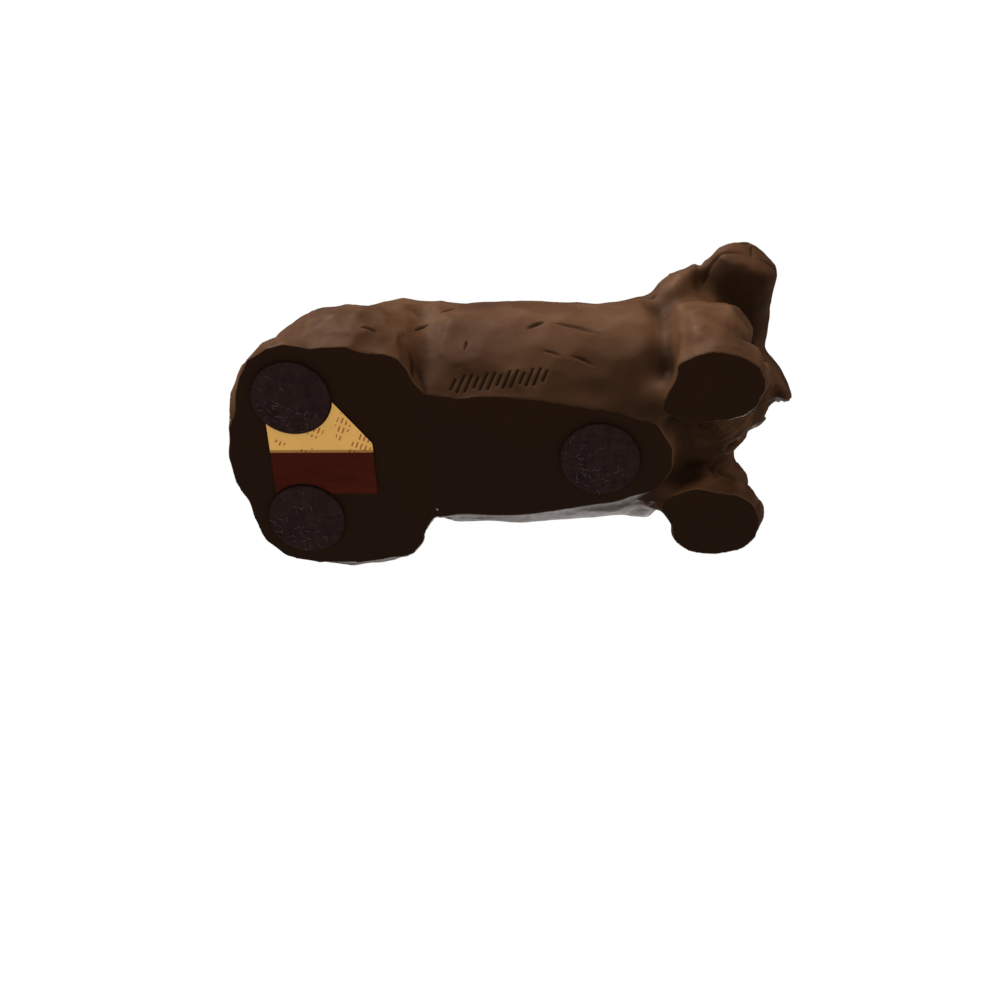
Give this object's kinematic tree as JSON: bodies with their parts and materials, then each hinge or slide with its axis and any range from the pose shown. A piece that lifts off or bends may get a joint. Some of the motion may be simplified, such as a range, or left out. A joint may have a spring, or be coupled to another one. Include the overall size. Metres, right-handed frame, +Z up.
{
  "type": "dachshund figurine",
  "caption": "Carved-look cast figurine of a dachshund lying on its belly with its head turned to its right, on round felt pads.",
  "frame": {"origin": "middle of the whole figure, on the plane of the felt pads' undersides", "axes": "+X the way the dog's body points, +Y the dog's left, +Z up"},
  "size_m": [0.1336, 0.065, 0.0679],
  "materials": {
    "carved_resin": "dark brown, satin",
    "felt": "matt brown felt",
    "paper": "printed cream paper"
  },
  "bodies": {
    "root": {"dachshund_casting": "carved_resin", "felt_pad_front": "felt", "felt_pad_rear_left": "felt", "felt_pad_rear_right": "felt", "paper_sticker": "paper"}
  },
  "joints": []
}
